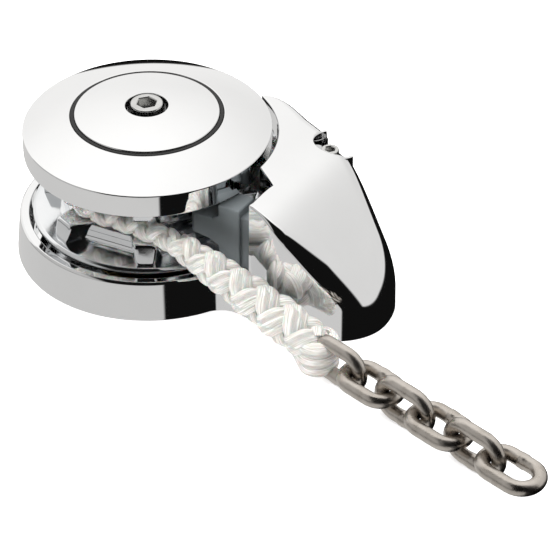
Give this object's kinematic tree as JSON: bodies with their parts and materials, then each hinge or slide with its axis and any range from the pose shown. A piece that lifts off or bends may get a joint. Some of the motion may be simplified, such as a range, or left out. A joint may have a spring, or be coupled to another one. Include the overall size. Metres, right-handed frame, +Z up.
{
  "type": "anchor windlass",
  "caption": "Low-profile vertical deck windlass: round base with a teardrop nose, rope and chain wheel under a domed clutch cap, rope spliced to chain.",
  "frame": {"origin": "axis of the main shaft, in the plane of the deck under the gasket", "axes": "+X towards the tip of the nose, +Y to the side the rope wraps behind, +Z up along the shaft"},
  "size_m": [0.3674, 0.1756, 0.093],
  "materials": {
    "polished_chrome": "mirror polished",
    "stainless_steel": "turned and polished",
    "chain_steel": "dull galvanised, slightly worn",
    "grey_plastic": "moulded, satin",
    "black_rubber": "matte",
    "bronze": "turned",
    "white_nylon_rope": "eight strand plait"
  },
  "bodies": {
    "base": {"base_housing": "polished_chrome", "deck_gasket": "black_rubber", "shaft_bearing": "stainless_steel", "bearing_circlip": "stainless_steel", "shaft_seal": "black_rubber", "stripper": "grey_plastic", "stripper_screw_lower": "stainless_steel", "stripper_screw_upper": "stainless_steel", "arm_pivot_bolt": "stainless_steel", "arm_spring": "stainless_steel", "rope": "white_nylon_rope", "rope_splice": "white_nylon_rope", "chain_link_1": "chain_steel", "chain_link_2": "chain_steel", "chain_link_3": "chain_steel", "chain_link_4": "chain_steel", "chain_link_5": "chain_steel", "chain_link_6": "chain_steel"},
    "shaft": {"main_shaft": "stainless_steel", "drive_key_lower": "stainless_steel", "drive_key_upper": "stainless_steel", "thrust_washer": "bronze", "lower_clutch_cone": "bronze"},
    "wheel": {"chainwheel": "polished_chrome", "chainwheel_bush": "bronze"},
    "cap": {"clutch_cap": "polished_chrome", "cap_insert": "polished_chrome", "insert_seal": "black_rubber", "upper_clutch_cone": "bronze", "cap_washer": "stainless_steel"},
    "screw": {"clutch_screw": "stainless_steel"},
    "arm": {"pressure_arm": "stainless_steel", "pressure_arm_bush": "bronze"}
  },
  "joints": [
    {"name": "shaft_spin", "type": "hinge", "parent": "base", "child": "shaft", "pos_m": [0, 0, 0], "axis": [0, 0, 1], "continuous": true},
    {"name": "wheel_free_spin", "type": "hinge", "parent": "shaft", "child": "wheel", "pos_m": [0, 0, 0.0459], "axis": [0, 0, 1], "continuous": true},
    {"name": "cap_lift", "type": "slide", "parent": "shaft", "child": "cap", "axis": [0, 0, 1], "range_m": [0, 0.00119]},
    {"name": "clutch_screw_turn", "type": "hinge", "parent": "cap", "child": "screw", "pos_m": [0, 0, 0.087], "axis": [0, 0, 1], "range_deg": [0, 245]},
    {"name": "pressure_arm_swing", "type": "hinge", "parent": "base", "child": "arm", "pos_m": [0.0925, 0.0415, 0.0457], "axis": [0, 0, 1], "range_deg": [-9, 0], "stiffness_Nm_per_rad": 0.5, "springref_deg": 5.73}
  ],
  "couplings": [
    {"joint": "clutch_screw_turn", "follows": "cap_lift", "rad_per_m": 3590.4}
  ]
}
